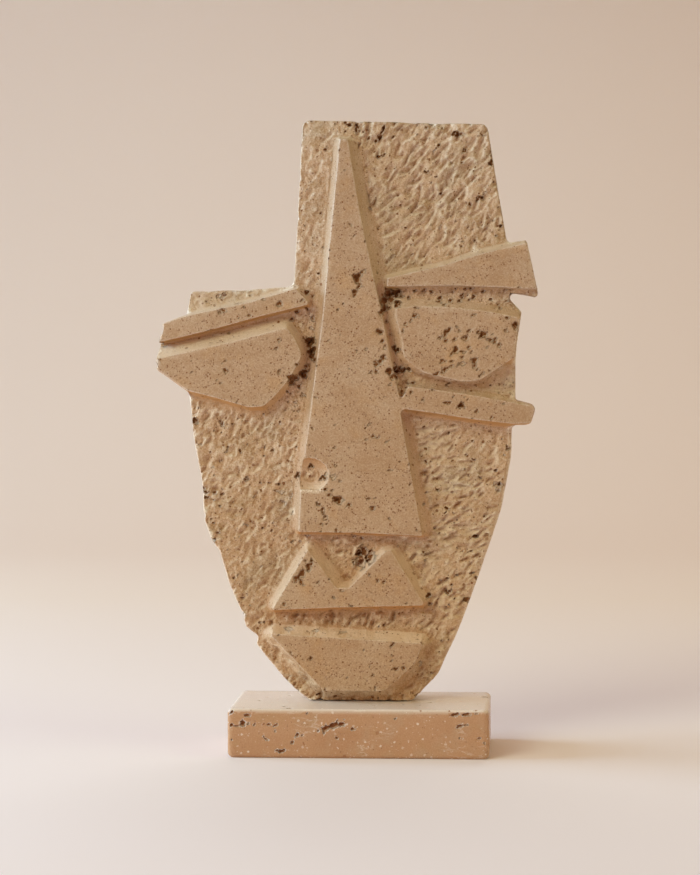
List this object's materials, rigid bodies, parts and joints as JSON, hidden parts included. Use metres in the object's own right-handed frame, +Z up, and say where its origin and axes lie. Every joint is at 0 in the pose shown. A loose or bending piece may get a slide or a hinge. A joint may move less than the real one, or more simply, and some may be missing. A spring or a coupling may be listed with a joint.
{
  "type": "stone mask on a plinth",
  "caption": "Geometric face mask carved in relief from a thick slab of travertine, with a tooled ground and honed planes, standing on a rectangular travertine plinth.",
  "frame": {"origin": "centre of the plinth's underside, on the surface that the part stands on", "axes": "+Z up, the mask's face looks along -Y, +X to the right as seen from the front"},
  "size_m": [0.2366, 0.08, 0.3912],
  "materials": {
    "mask_travertine": "honed planes on a point-tooled ground, open pores",
    "plinth_travertine": "honed, open pores and pale veins"
  },
  "bodies": {
    "root": {"mask": "mask_travertine", "plinth": "plinth_travertine"}
  },
  "joints": []
}
